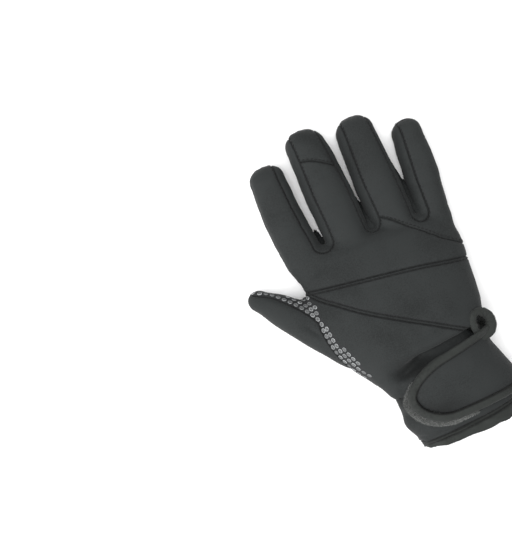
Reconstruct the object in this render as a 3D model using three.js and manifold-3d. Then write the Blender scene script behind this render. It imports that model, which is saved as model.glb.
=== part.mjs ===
// A right-hand fishing glove in stretch softshell, lying palm down and filled out as if by a hand.
// Millimetres. The origin is under the middle of the palm on the surface that the glove lies on,
// +Y runs towards the fingertips, +X towards the little finger and +Z out of the back of the hand.
import * as THREE from 'three';
import { mergeVertices } from 'three/addons/utils/BufferGeometryUtils.js';
import Module from 'manifold-3d';

const wasm = await Module();
wasm.setup();

// Driving sizes of the hand
const wall = 2.2;
const seamGap = 0.3;
const bodyLength = 151;
const mouthShare = 0.735;
const handWidth = 112;
const handHeight = 39;
const fingerLength = 96;
const fingerBreadth = 32;
const fingerHeight = 25;
const thumbBreadth = 38;
const thumbHeight = 29;
const sideSeamHeight = 11;
const thumbSeamHeight = 7;
const forkRadius = 6;
const forkDrop = 5;

// Driving sizes of the cuff, the strap and the loop
const cuffLength = 37;
const hemWidth = 7.5;
const hemProud = 0.5;
const strapWidth = 45;
const strapReach = 73.5;
const strapSlope = 0.15;
const strapHemSpace = 3.3;
const strapLowest = 8;
const strapBorder = 5;
const strapPanelThickness = 2.2;
const strapEdgeThickness = 3;
const hookLength = 46;
const hookThickness = 1.2;
const hookShow = 2.4;
const hookInset = 1;
const loopBand = 5;
const loopThickness = 3.4;
const loopSpan = 15.5;
const loopRise = 13;
const loopPlace = 0.404;

// Places along the glove that follow from the sizes
const mouthY = -bodyLength * mouthShare;
const forkY = mouthY + bodyLength;
const hemY = mouthY + hemWidth;
const wristY = mouthY + cuffLength;
const cutHigh = 3 * handHeight;
const cutFar = 3 * handWidth;

const atShare = (share) => mouthY + share * bodyLength;
const ofWidth = (share) => share * handWidth;

// Hand and cuff, from the mouth to the forks of the fingers.
// along is a share of bodyLength, left and right of handWidth, top and base of handHeight,
// slant is how far the section leans back towards the little finger.
const bodyRows = [
  { along: 0.0, left: -0.183, right: 0.43, top: 0.87, base: 0, slant: 0 },
  { along: 0.05, left: -0.201, right: 0.455, top: 0.9, base: 0, slant: 0 },
  { along: 0.125, left: -0.24, right: 0.475, top: 0.92, base: 0, slant: 0 },
  { along: 0.185, left: -0.228, right: 0.468, top: 0.92, base: 0, slant: 0 },
  { along: 0.24, left: -0.236, right: 0.44, top: 0.91, base: 0, slant: 0 },
  { along: 0.265, left: -0.258, right: 0.428, top: 0.9, base: 0, slant: 0 },
  { along: 0.33, left: -0.293, right: 0.4, top: 0.88, base: 0, slant: 0 },
  { along: 0.375, left: -0.325, right: 0.396, top: 0.84, base: 0, slant: 0 },
  { along: 0.4, left: -0.342, right: 0.41, top: 0.87, base: 0, slant: 0 },
  { along: 0.44, left: -0.372, right: 0.438, top: 0.99, base: 0, slant: 0 },
  { along: 0.54, left: -0.442, right: 0.476, top: 1.0, base: 0, slant: 0 },
  { along: 0.67, left: -0.473, right: 0.487, top: 0.95, base: 0, slant: 0 },
  { along: 0.79, left: -0.487, right: 0.505, top: 0.87, base: 0, slant: 0 },
  { along: 0.87, left: -0.5, right: 0.492, top: 0.79, base: 0, slant: 0 },
  { along: 0.94, left: -0.515, right: 0.5, top: 0.7, base: 0, slant: 0.04 },
  { along: 0.98, left: -0.52, right: 0.5, top: 0.6, base: 0.04, slant: 0.07 },
  { along: 1.0, left: -0.5, right: 0.485, top: 0.42, base: 0.12, slant: 0.08 },
];

// Fingers, from a root inside the hand to the tip. rootX and tipX are shares of handWidth, rootY of
// bodyLength, lengthShare of fingerLength and heightShare of fingerHeight. bow is the sideways bend,
// rootShare, midShare and endShare are widths, and leftShare and rightShare set the seams of the back
// in from its sides: all shares of fingerBreadth.
const fingers = [
  { name: 'index', rootX: -0.396, rootY: 0.9, tipX: -0.442, lengthShare: 0.865, bow: -0.07,
    rootShare: 0.94, midShare: 0.863, endShare: 0.77, heightShare: 0.95, leftShare: 0, rightShare: 0.175 },
  { name: 'middle', rootX: -0.118, rootY: 0.9, tipX: -0.161, lengthShare: 1, bow: 0.02,
    rootShare: 0.98, midShare: 1.01, endShare: 0.83, heightShare: 1, leftShare: 0.14, rightShare: 0.106 },
  { name: 'ring', rootX: 0.183, rootY: 0.9, tipX: 0.165, lengthShare: 0.953, bow: -0.02,
    rootShare: 0.92, midShare: 0.95, endShare: 0.81, heightShare: 0.97, leftShare: 0.144, rightShare: 0.1 },
  { name: 'little', rootX: 0.413, rootY: 0.86, tipX: 0.445, lengthShare: 0.854, bow: 0.012,
    rootShare: 0.645, midShare: 0.75, endShare: 0.67, heightShare: 0.88, leftShare: 0.156, rightShare: 0 },
];

// Shape that all fingers share: along is a share of the length, wide of the width there,
// top of the finger's height and base how far the pad has risen.
const fingerRows = [
  { along: 0.0, wide: 0.8, top: 0.8, base: 0.1 },
  { along: 0.12, wide: 0.96, top: 0.97, base: 0 },
  { along: 0.25, wide: 1.0, top: 1.0, base: 0 },
  { along: 0.5, wide: 1.0, top: 0.97, base: 0 },
  { along: 0.75, wide: 1.0, top: 0.93, base: 0 },
  { along: 0.86, wide: 0.97, top: 0.89, base: 0.01 },
  { along: 0.93, wide: 0.87, top: 0.82, base: 0.05 },
  { along: 0.975, wide: 0.67, top: 0.71, base: 0.14 },
  { along: 1.0, wide: 0.36, top: 0.55, base: 0.26 },
];

// Thumb: its path in shares of handWidth and bodyLength, its widths in shares of thumbBreadth
const thumb = { rootX: -0.179, rootY: 0.443, bendX: -0.536, bendY: 0.715, tipX: -0.826, tipY: 0.93 };
const thumbRows = [
  { along: 0.0, wide: 1.0, top: 1.0, base: 0 },
  { along: 0.3, wide: 0.94, top: 0.98, base: 0 },
  { along: 0.5, wide: 0.81, top: 0.92, base: 0 },
  { along: 0.65, wide: 0.68, top: 0.85, base: 0 },
  { along: 0.8, wide: 0.54, top: 0.76, base: 0 },
  { along: 0.9, wide: 0.43, top: 0.68, base: 0.02 },
  { along: 0.96, wide: 0.33, top: 0.59, base: 0.08 },
  { along: 1.0, wide: 0.18, top: 0.46, base: 0.18 },
];

// Seams of the back, each a run of points: x a share of handWidth, y a share of bodyLength
const bandSeam = [[-0.62, 0.857], [-0.48, 0.846], [-0.19, 0.816], [0.15, 0.777], [0.33, 0.75], [0.62, 0.706]];
const slantSeam = [[-0.5, 0.835], [-0.43, 0.784], [-0.365, 0.747], [-0.196, 0.653], [0.144, 0.497], [0.62, 0.28]];
const fingerSeam = [[0.075, 1.04], [0.163, 0.993], [0.338, 0.876], [0.414, 0.83], [0.62, 0.73]];
const tipSeam = [[-0.31, 1.4], [-0.249, 1.398], [-0.17, 1.385], [-0.082, 1.348], [0.02, 1.3]];
const palmEdge = [[-0.5, 0.835], [-0.48, 0.8], [-0.46, 0.68], [-0.411, 0.55], [-0.348, 0.444],
  [-0.318, 0.391], [-0.31, 0.34], [-0.33, 0.2]];
const thumbSeam = [[-0.87, 0.99], [-0.8, 0.948], [-0.705, 0.912], [-0.625, 0.855], [-0.553, 0.79],
  [-0.492, 0.71], [-0.497, 0.66], [-0.474, 0.55], [-0.415, 0.445], [-0.36, 0.385]];

// Materials
const softshell = { color: 0x35383a, roughness: 0.85, metalness: 0 };
const printedPalm = { color: 0x2b2d2e, roughness: 0.7, metalness: 0 };
const binding = { color: 0x3a3d3c, roughness: 0.8, metalness: 0 };
const hookFelt = { color: 0x5c605e, roughness: 0.95, metalness: 0 };

// Points on each ring: the half ring of the back, for the outer skin and for the inner one
const outerSteps = { body: 14, finger: 10 };
const innerSteps = { body: 10, finger: 7 };

// One closed ring across a tube: a round back, rounded lower sides and a flat underside
const roundBack = 2.4;
const roundSide = 2.6;
const flatShare = 0.4;
const sideShare = 0.42;
const superCurve = (value, power) => Math.sign(value) * Math.abs(value) ** (2 / power);

function ringPoints({ halfWidth, top, base }, steps) {
  const side = base + (top - base) * sideShare;
  const flat = halfWidth * flatShare;
  const cornerSteps = Math.round(steps / 3);
  const points = [];
  for (let i = 0; i <= steps; i++) {
    const angle = Math.PI * i / steps;
    const across = halfWidth * superCurve(Math.cos(angle), roundBack);
    points.push([across, side + (top - side) * superCurve(Math.sin(angle), roundBack)]);
  }
  for (let i = 1; i <= cornerSteps; i++) {
    const angle = Math.PI * (1 + 0.5 * i / cornerSteps);
    const across = -flat + (halfWidth - flat) * superCurve(Math.cos(angle), roundSide);
    points.push([across, side + (side - base) * superCurve(Math.sin(angle), roundSide)]);
  }
  const lower = points.slice(-cornerSteps).reverse();
  return [...points, ...lower.map(([across, z]) => [-across, z])];
}

// A closed skin through rings of points, each ring with a middle that closes the ends
function loft(rings) {
  const count = rings[0].points.length;
  const positions = rings.flatMap((ring) => ring.points.flatMap((point) => point.toArray()));
  const index = [];
  for (let r = 0; r + 1 < rings.length; r++) {
    for (let i = 0; i < count; i++) {
      const a = r * count + i;
      const b = r * count + (i + 1) % count;
      index.push(a, a + count, b, b, a + count, b + count);
    }
  }
  const first = positions.length / 3;
  const last = (rings.length - 1) * count;
  positions.push(...rings[0].middle.toArray(), ...rings.at(-1).middle.toArray());
  for (let i = 0; i < count; i++) {
    const next = (i + 1) % count;
    index.push(first, i, next, first + 1, last + next, last + i);
  }
  const geometry = new THREE.BufferGeometry();
  geometry.setAttribute('position', new THREE.Float32BufferAttribute(positions, 3));
  geometry.setIndex(index);
  return geometry;
}

function placeRing(section, grow, steps) {
  const { x, y, acrossX, acrossY } = section;
  const shape = { halfWidth: section.halfWidth + grow, top: section.top + grow, base: section.base - grow };
  const place = ([side, z]) => new THREE.Vector3(x + side * acrossX, y + side * acrossY, z);
  const middle = new THREE.Vector3(x, y, (shape.top + shape.base) / 2);
  return { points: ringPoints(shape, steps).map(place), middle };
}

const loftOf = (sections, grow, steps) => solidOf(loft(sections.map((section) => placeRing(section, grow, steps))));

function bodySections(rows) {
  return rows.map((row) => ({
    x: ofWidth((row.left + row.right) / 2),
    y: atShare(row.along) - row.slant * ofWidth((row.left + row.right) / 2),
    acrossX: 1,
    acrossY: -row.slant,
    halfWidth: ofWidth((row.right - row.left) / 2),
    top: row.top * handHeight,
    base: row.base * handHeight,
  }));
}

function fingerPath(finger) {
  const root = new THREE.Vector3(ofWidth(finger.rootX), atShare(finger.rootY), 0);
  const tip = new THREE.Vector3(ofWidth(finger.tipX), root.y + finger.lengthShare * fingerLength, 0);
  const bend = root.clone().lerp(tip, 0.5);
  bend.x += 2 * finger.bow * fingerBreadth;
  return new THREE.QuadraticBezierCurve3(root, bend, tip);
}

function fingerWidth(finger, along) {
  const [from, to] = along < 0.5
    ? [finger.rootShare, finger.midShare]
    : [finger.midShare, finger.endShare];
  return fingerBreadth * THREE.MathUtils.lerp(from, to, (2 * along) % 1);
}

const thumbPath = new THREE.QuadraticBezierCurve3(
  new THREE.Vector3(ofWidth(thumb.rootX), atShare(thumb.rootY), 0),
  new THREE.Vector3(ofWidth(thumb.bendX), atShare(thumb.bendY), 0),
  new THREE.Vector3(ofWidth(thumb.tipX), atShare(thumb.tipY), 0),
);

function tubeSections(path, rows, widthAt, height, shorten) {
  const length = path.getLength();
  return rows.map((row) => {
    const share = row.along * (length - shorten) / length;
    const centre = path.getPointAt(share);
    const tangent = path.getTangentAt(share);
    return {
      x: centre.x,
      y: centre.y,
      acrossX: tangent.y,
      acrossY: -tangent.x,
      halfWidth: widthAt(row) / 2,
      top: row.top * height,
      base: row.base * height,
    };
  });
}

// Solids and flat cutters
function solidOf(geometry) {
  const bare = geometry.clone();
  bare.deleteAttribute('normal');
  bare.deleteAttribute('uv');
  const merged = mergeVertices(bare, 1e-5);
  const vertProperties = new Float32Array(merged.attributes.position.array);
  const triVerts = new Uint32Array(merged.index.array);
  return new wasm.Manifold(new wasm.Mesh({ numProp: 3, vertProperties, triVerts }));
}

function geometryOf(solid) {
  const { vertProperties, triVerts } = solid.getMesh();
  const geometry = new THREE.BufferGeometry();
  geometry.setAttribute('position', new THREE.Float32BufferAttribute(vertProperties, 3));
  geometry.setIndex(Array.from(triVerts));
  geometry.computeVertexNormals();
  return geometry;
}

function slab(fromY, toY) {
  const geometry = new THREE.BoxGeometry(2 * cutFar, toY - fromY, 2 * cutHigh);
  return solidOf(geometry.translate(0, (fromY + toY) / 2, 0));
}

// An upright prism on a plan outline, which can be let out by a margin and stands on a lowest height
function prism(outline, margin, lowest) {
  const turned = THREE.ShapeUtils.area(outline) < 0 ? [...outline].reverse() : outline;
  const count = turned.length;
  const letOut = turned.map((point, i) => {
    const before = point.clone().sub(turned[(i + count - 1) % count]).normalize();
    const after = turned[(i + 1) % count].clone().sub(point).normalize();
    const normal = new THREE.Vector2(before.y + after.y, -before.x - after.x).normalize();
    const reach = Math.max(0.5, normal.x * before.y - normal.y * before.x);
    return point.clone().addScaledVector(normal, margin / reach);
  });
  const depth = cutHigh - lowest + margin;
  const geometry = new THREE.ExtrudeGeometry(new THREE.Shape(letOut), { depth, bevelEnabled: false });
  return solidOf(geometry.translate(0, 0, lowest - margin));
}

const corner = (x, y) => new THREE.Vector2(x, y);
const plan = (run) => run.map(([x, y]) => corner(ofWidth(x), atShare(y)));

// An elliptical arc in plan, between two angles in degrees
function arc(centre, reachX, reachY, from, to, steps) {
  return Array.from({ length: steps + 1 }, (unused, i) => {
    const angle = THREE.MathUtils.degToRad(THREE.MathUtils.lerp(from, to, i / steps));
    return corner(centre.x + reachX * Math.cos(angle), centre.y + reachY * Math.sin(angle));
  });
}

// The whole glove as one form, let out or drawn in: the inner wall is the outer one less the wall
const mouthClear = 5;

function handForm(grow, steps) {
  const shorten = Math.max(0, -grow);
  const sections = bodySections(bodyRows);
  sections[0].y -= shorten > 0 ? mouthClear : 0;
  sections.at(-1).y -= shorten;
  const tubes = fingers.map((finger) => {
    const widthAt = (row) => fingerWidth(finger, row.along) * row.wide;
    return tubeSections(fingerPath(finger), fingerRows, widthAt, finger.heightShare * fingerHeight, shorten);
  });
  tubes.push(tubeSections(thumbPath, thumbRows, (row) => row.wide * thumbBreadth, thumbHeight, shorten));
  return tubes.reduce((form, tube) => form.add(loftOf(tube, grow, steps.finger)), loftOf(sections, grow, steps.body));
}

const inside = handForm(-wall, innerSteps);
const shell = handForm(0, outerSteps).subtract(inside);

// The strip between two fingers: down the seam of one, round the fork and up the seam of the next
const seamShares = [0.32, 0.45, 0.58, 0.7, 0.82, 0.92, 1];

function seamRun(finger, side) {
  const path = fingerPath(finger);
  const inset = fingerBreadth * (side > 0 ? finger.rightShare : finger.leftShare);
  return seamShares.map((share) => {
    const centre = path.getPointAt(share);
    const tangent = path.getTangentAt(share);
    const reach = side * (fingerWidth(finger, share) / 2 - inset);
    return corner(centre.x + reach * tangent.y, centre.y - reach * tangent.x);
  });
}

function makeFork(left, right) {
  const leftRun = seamRun(left, 1);
  const rightRun = seamRun(right, -1);
  const x = (leftRun[0].x + rightRun[0].x) / 2;
  const web = forkY - bodyRows.at(-1).slant * x;
  const centre = corner(x, web - forkDrop + forkRadius);
  const above = (point) => point.y > centre.y + seamGap;
  const top = forkY + fingerLength;
  const outline = [
    corner(leftRun.at(-1).x, top),
    ...leftRun.filter(above).reverse(),
    ...arc(centre, (rightRun[0].x - leftRun[0].x) / 2, forkRadius, 180, 360, 6),
    ...rightRun.filter(above),
    corner(rightRun.at(-1).x, top),
  ];
  return { name: `fourchette_${left.name}_${right.name}`, outline, x };
}

const [index, middle, ring, little] = fingers;
const forks = [makeFork(index, middle), makeFork(middle, ring), makeFork(ring, little)];

// Plan outlines of the panels of the back: a seam, closed far outside the glove
const farUp = forkY + cutFar;
const farDown = mouthY - cutFar;
const ringLeft = forks[1].x;

function upFrom(seam, left) {
  const run = plan(seam);
  return [...run, corner(cutFar, run.at(-1).y), corner(cutFar, farUp), corner(left, farUp), corner(left, run[0].y)];
}

const [palmEdgeRun, slantRun, thumbRun] = [palmEdge, slantSeam, thumbSeam].map(plan);
const tipOutline = [...plan(tipSeam), corner(ringLeft, farUp), corner(forks[0].x, farUp)];
const wristOutline = [
  ...palmEdgeRun.reverse(),
  ...slantRun.slice(1),
  corner(cutFar, slantRun.at(-1).y),
  corner(cutFar, farDown),
  corner(palmEdgeRun[0].x, farDown),
];
const thumbOutline = [
  ...thumbRun,
  corner(thumbRun.at(-1).x, farDown),
  corner(-cutFar, farDown),
  corner(-cutFar, thumbRun[0].y),
];

// Pieces. A cut can leave slivers, so a piece is the largest body of its cut.
const glove = new THREE.Group();

function addPiece(name, solid, material) {
  const [largest] = solid.decompose().sort((a, b) => b.volume() - a.volume());
  const mesh = new THREE.Mesh(geometryOf(largest), new THREE.MeshStandardMaterial(material));
  mesh.name = name;
  glove.add(mesh);
}

// Panels come off the hand one after the other, each with the seam gap, and the palm is what is left
let hand = shell.intersect(slab(wristY + seamGap / 2, farUp));

function takePanel(name, outline, lowest) {
  addPiece(name, hand.intersect(prism(outline, 0, lowest)), softshell);
  hand = hand.subtract(prism(outline, seamGap, lowest));
}

for (const fork of forks) takePanel(fork.name, fork.outline, -handHeight);
takePanel('thumb_panel', thumbOutline, thumbSeamHeight);
takePanel('middle_tip_panel', tipOutline, sideSeamHeight);
takePanel('outer_fingers_panel', upFrom(fingerSeam, ringLeft), sideSeamHeight);
takePanel('inner_fingers_panel', upFrom(bandSeam, -cutFar), sideSeamHeight);
takePanel('knuckle_band', upFrom(slantSeam, -cutFar), sideSeamHeight);
takePanel('wrist_panel', wristOutline, sideSeamHeight);
addPiece('palm', hand, printedPalm);

// Cuff, and the hem that binds its mouth
addPiece('cuff', shell.intersect(slab(hemY + seamGap / 2, wristY - seamGap / 2)), softshell);
const hemSections = bodySections(bodyRows.slice(0, 3)).map((section) => ({ ...section, base: hemProud }));
const hemForm = loftOf(hemSections, hemProud, outerSteps.body);
addPiece('hem', hemForm.intersect(slab(mouthY, hemY - seamGap / 2)).subtract(inside), binding);

// Layers that lie over the wrist, between two heights above its skin
const wristSections = bodySections(bodyRows.slice(1, 12));
const overWrist = (low, high) => loftOf(wristSections, high, outerSteps.body)
  .subtract(loftOf(wristSections, low, outerSteps.body));

// Wrist strap: a tongue that leaves the little-finger side and slopes down to its rounded end
const strapRound = [{ alongReach: 0.41, alongWidth: 0.4 }, { alongReach: 0.37, alongWidth: 0.56 }];
const strapTip = ofWidth(bodyRows[3].right) - strapReach;
const strapEdgeY = (x, share) => hemY + strapHemSpace + share * strapWidth + strapSlope * x;

function strapOutline(margin, end) {
  const left = strapTip + margin;
  const low = strapEdgeY(0, 0) + margin;
  const high = strapEdgeY(0, 1) - margin;
  const [upper, lower] = strapRound.map(({ alongReach, alongWidth }) => ({
    reachX: alongReach * (strapReach - margin),
    reachY: alongWidth * (high - low),
  }));
  const outline = [
    ...arc(corner(left + upper.reachX, high - upper.reachY), upper.reachX, upper.reachY, 90, 180, 7),
    ...arc(corner(left + lower.reachX, low + lower.reachY), lower.reachX, lower.reachY, 180, 270, 7),
    corner(end, low),
    corner(end, high),
  ];
  return outline.map((point) => corner(point.x, point.y + strapSlope * point.x));
}

// Hook tape under the strap's end, set towards the hem so that its rim shows there
const hookTop = seamGap + hookThickness;
const hookOutline = strapOutline(hookInset, strapTip + hookLength)
  .map((point) => corner(point.x - hookShow - hookInset, point.y - hookShow));
addPiece('strap_hook_tape', overWrist(seamGap, hookTop).intersect(prism(hookOutline, 0, strapLowest)), hookFelt);

// Strap panel and the raised edge around it
const strapBottom = hookTop + seamGap;
const panelLayer = overWrist(strapBottom, strapBottom + strapPanelThickness);
const edgeLayer = overWrist(strapBottom, strapBottom + strapEdgeThickness);
const panelSolid = panelLayer.intersect(prism(strapOutline(strapBorder + seamGap, cutFar), 0, strapLowest));
const edgeSolid = edgeLayer
  .intersect(prism(strapOutline(0, cutFar), 0, strapLowest))
  .subtract(prism(strapOutline(strapBorder, cutFar), 0, -handHeight));
addPiece('strap_panel', panelSolid, softshell);
addPiece('strap_edge', edgeSolid, binding);

// Loop that the binding makes above the strap, on the little-finger side
const loopX = ofWidth(loopPlace);
const loopFoot = strapEdgeY(loopX, 1) + seamGap + strapSlope * loopSpan;
const loopCentre = corner(loopX, loopFoot);
const loopHole = { reachX: loopSpan / 2 - loopBand, reachY: loopRise - loopBand };
const loopOutline = [
  ...arc(loopCentre, loopSpan / 2, loopRise, 0, 180, 12),
  ...arc(loopCentre, loopHole.reachX, loopHole.reachY, 180, 0, 8),
];
const loopLayer = overWrist(seamGap, seamGap + loopThickness);
addPiece('wrist_loop', loopLayer.intersect(prism(loopOutline, 0, strapLowest)), binding);

export default glove;
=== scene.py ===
"""A right-hand softshell fishing glove, lying palm down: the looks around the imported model.

The form is a distance field worked out from the same sections as the model. Its skin is cut along
the seams into the glove's panels, and the strap, the loop, the stitches and the palm's print lie on it.
Lengths in the tables are millimetres and are turned into metres where a mesh is made.
"""

import math

import bpy
import numpy as np
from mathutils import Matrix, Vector
from mathutils.bvhtree import BVHTree
from mathutils.kdtree import KDTree


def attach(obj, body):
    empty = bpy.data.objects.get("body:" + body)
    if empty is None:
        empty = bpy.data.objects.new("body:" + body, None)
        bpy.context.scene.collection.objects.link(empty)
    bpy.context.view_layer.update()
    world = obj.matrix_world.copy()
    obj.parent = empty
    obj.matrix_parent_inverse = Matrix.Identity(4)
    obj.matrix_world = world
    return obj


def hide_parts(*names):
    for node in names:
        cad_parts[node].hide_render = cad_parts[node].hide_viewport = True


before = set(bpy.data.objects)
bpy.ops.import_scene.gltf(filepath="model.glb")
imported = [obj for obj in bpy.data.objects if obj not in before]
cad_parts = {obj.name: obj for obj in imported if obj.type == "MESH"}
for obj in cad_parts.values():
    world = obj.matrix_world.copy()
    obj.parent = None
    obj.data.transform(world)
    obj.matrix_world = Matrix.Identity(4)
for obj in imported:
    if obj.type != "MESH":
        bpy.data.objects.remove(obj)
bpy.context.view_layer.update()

MM = 0.001

# Driving sizes, as in the model
WALL = 2.2
BODY_LENGTH = 151.0
MOUTH_Y = -0.735 * BODY_LENGTH
HAND_WIDTH = 112.0
HAND_HEIGHT = 39.0
FINGER_LENGTH = 96.0
FINGER_BREADTH = 32.0
FINGER_HEIGHT = 25.0
THUMB_BREADTH = 38.0
THUMB_HEIGHT = 29.0
SIDE_SEAM_HEIGHT = 11.0
THUMB_SEAM_HEIGHT = 7.0
FORK_RADIUS = 6.0
FORK_Y = MOUTH_Y + BODY_LENGTH
HEM_Y = MOUTH_Y + 7.5
HEM_SLOPE = 0.085
HEM_LEVEL_X = 7.0
WRIST_Y = MOUTH_Y + 37.0

# Height of the cloth above the surface, for the print under it
SKIN_FLOOR = 0.45

# Size of one cell of the distance field
SKIN_CELL = 0.9
STRAP_CELL = 0.65

# Hand and cuff: share of the length, left and right in widths, top and base in heights, slant
BODY_ROWS = [
    (0.0, -0.183, 0.430, 0.87, 0.00, 0.0),
    (0.05, -0.201, 0.455, 0.90, 0.00, 0.0),
    (0.125, -0.240, 0.475, 0.92, 0.00, 0.0),
    (0.185, -0.228, 0.468, 0.92, 0.00, 0.0),
    (0.24, -0.236, 0.440, 0.91, 0.00, 0.0),
    (0.265, -0.258, 0.428, 0.90, 0.00, 0.0),
    (0.33, -0.293, 0.400, 0.88, 0.00, 0.0),
    (0.375, -0.325, 0.396, 0.84, 0.00, 0.0),
    (0.40, -0.342, 0.410, 0.87, 0.00, 0.0),
    (0.44, -0.372, 0.438, 0.99, 0.00, 0.0),
    (0.54, -0.442, 0.476, 1.00, 0.00, 0.0),
    (0.67, -0.473, 0.495, 0.95, 0.00, 0.0),
    (0.79, -0.487, 0.515, 0.87, 0.00, 0.0),
    (0.87, -0.500, 0.505, 0.79, 0.00, 0.0),
    (0.94, -0.515, 0.508, 0.70, 0.00, 0.04),
    (0.98, -0.520, 0.505, 0.60, 0.04, 0.07),
    (1.0, -0.500, 0.485, 0.42, 0.12, 0.08),
]

# Fingers: name, root x, root y, tip x, length, bow, root, mid and end width, height, seam insets
FINGERS = [
    ("index", -0.396, 0.90, -0.442, 0.875, -0.070, 0.940, 0.863, 0.77, 0.95, 0.0, 0.175),
    ("middle", -0.118, 0.90, -0.154, 1.015, 0.020, 0.980, 1.010, 0.83, 1.00, 0.14, 0.106),
    ("ring", 0.183, 0.90, 0.166, 0.968, -0.020, 0.920, 0.950, 0.81, 0.97, 0.144, 0.10),
    ("little", 0.416, 0.86, 0.466, 0.868, 0.012, 0.645, 0.750, 0.67, 0.88, 0.156, 0.0),
]

# Shape along a finger and the thumb: share of the length, width and top
FINGER_ROWS = [
    (0.0, 0.80, 0.80),
    (0.12, 0.96, 0.97),
    (0.25, 1.0, 1.0),
    (0.5, 1.0, 0.97),
    (0.75, 1.0, 0.93),
    (0.86, 0.97, 0.89),
    (0.93, 0.87, 0.82),
    (0.975, 0.67, 0.71),
    (1.0, 0.36, 0.55),
]
THUMB_PATH = [(-0.179, 0.443), (-0.536, 0.715), (-0.826, 0.93)]
THUMB_ROWS = [
    (0.0, 1.0, 1.0),
    (0.3, 0.94, 0.98),
    (0.5, 0.81, 0.92),
    (0.65, 0.68, 0.85),
    (0.8, 0.54, 0.76),
    (0.9, 0.43, 0.68),
    (0.96, 0.33, 0.59),
    (1.0, 0.18, 0.46),
]

# Rounded tips: share where one starts, its width, power, drop of the top and rise of the base
FINGER_TIP = (0.86, 0.98, 2.6, 0.18, 0.35)
THUMB_TIP = (0.9, 0.43, 2.4, 0.12, 0.25)

# Seams of the back: x in hand widths, y in body lengths
BAND_SEAM = [(-0.53, 0.851), (-0.48, 0.846), (-0.19, 0.816), (0.15, 0.777), (0.33, 0.75), (0.62, 0.706)]
SLANT_SEAM = [(-0.5, 0.835), (-0.43, 0.784), (-0.365, 0.747), (-0.196, 0.653), (0.144, 0.497), (0.62, 0.28)]
FINGER_SEAM = [(0.075, 1.04), (0.163, 0.993), (0.338, 0.876), (0.414, 0.83), (0.62, 0.73)]
TIP_SEAM = [(-0.31, 1.4), (-0.249, 1.398), (-0.17, 1.385), (-0.082, 1.348), (0.02, 1.3)]
PALM_EDGE = [(-0.5, 0.835), (-0.48, 0.8), (-0.46, 0.68), (-0.411, 0.55), (-0.348, 0.444), (-0.318, 0.391),
             (-0.31, 0.34), (-0.33, 0.2)]
THUMB_SEAM = [(-0.87, 0.972), (-0.8, 0.93), (-0.705, 0.894), (-0.625, 0.84), (-0.556, 0.782),
              (-0.496, 0.708), (-0.497, 0.66), (-0.474, 0.55), (-0.415, 0.445), (-0.36, 0.385)]

# Webs between the fingers and at the thumb: from x and y to x and y, with the height at each end
WEBS = [
    (-30.0, 34.0, -32.0, 54.0, 14.0, 2.0),
    (4.0, 38.0, 2.0, 66.0, 15.0, 2.0),
    (38.0, 29.0, 34.3, 78.0, 15.0, 2.5),
    (-46.0, 0.0, -56.5, 12.5, 14.0, 10.0),
]
WEB_HALF = 5.0
WEB_TAPER = 0.6
WEB_BASE = 1.2

# Strap: its outline, and heights above the wrist
STRAP_LOW = 7.15
STRAP_HIGH = 48.3
STRAP_REACH = 73.5
STRAP_LOW_SLOPE = 0.02
STRAP_HIGH_SLOPE = 0.15
STRAP_LOWEST = 8.5
STRAP_ROUND = [(0.41, 0.437), (0.37, 0.563)]
STRAP_BASE = 1.8
ROLL_HALF = 2.75
ROLL_HIGH = 3.6
ROLL_RISE = 1.95
STRAP_PUFF = 1.2
HOOK_SHOW = 2.3
HOOK_LENGTH = 43.0
HOOK_THIN = 1.0
HOOK_HIGH = 2.7


def plan(run):
    return np.array([(x * HAND_WIDTH, MOUTH_Y + y * BODY_LENGTH) for x, y in run])


# Smooth interpolation through a table
def smooth_rows(rows, at):
    """Rows at places between their first column, eased so that no row shows as a crease."""
    table = np.array(rows, dtype=float)
    dense = np.linspace(table[0, 0], table[-1, 0], 161)
    columns = [np.interp(dense, table[:, 0], table[:, k]) for k in range(1, table.shape[1])]
    kernel = np.array([1, 2, 3, 2, 1]) / 9
    eased = [np.convolve(np.pad(c, 2, "edge"), kernel, "valid") for c in columns]
    return [np.interp(at, dense, c) for c in eased]


# Distance fields
ROUND_BACK = 2.4
ROUND_SIDE = 2.6
FLAT_SHARE = 0.4
SIDE_SHARE = 0.42
STEEPNESS = (0.35, 4)
OUTSIDE = 30.0


def section_field(across, z, half, top, base):
    """Below 0 inside a section with a round back and a flat underside, near its wall in millimetres."""
    side = base + (top - base) * SIDE_SHARE
    upper = np.maximum(top - side, 0.1)
    lower = np.maximum(side - base, 0.1)
    half = np.maximum(half, 0.1)
    flat = half * FLAT_SHARE
    over = (np.abs(across) / half) ** ROUND_BACK + (np.abs(z - side) / upper) ** ROUND_BACK
    past = np.maximum(np.abs(across) - flat, 0) / (half - flat)
    past = np.where(np.abs(across) > half, np.abs(across) / half, past)
    under = past**ROUND_SIDE + (np.abs(z - side) / lower) ** ROUND_SIDE
    value = np.where(z >= side, over ** (1 / ROUND_BACK), under ** (1 / ROUND_SIDE))
    return (value - 1) * np.minimum(half, upper)


def true_distance(field, cell):
    slopes = np.gradient(field, cell)
    steep = np.sqrt(sum(s * s for s in slopes))
    return field / np.clip(steep, *STEEPNESS)


def smooth_min(a, b, reach):
    blend = np.clip(0.5 + 0.5 * (b - a) / reach, 0, 1)
    return b + (a - b) * blend - reach * blend * (1 - blend)


def smooth_max(a, b, reach):
    return -smooth_min(-a, -b, reach)


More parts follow.
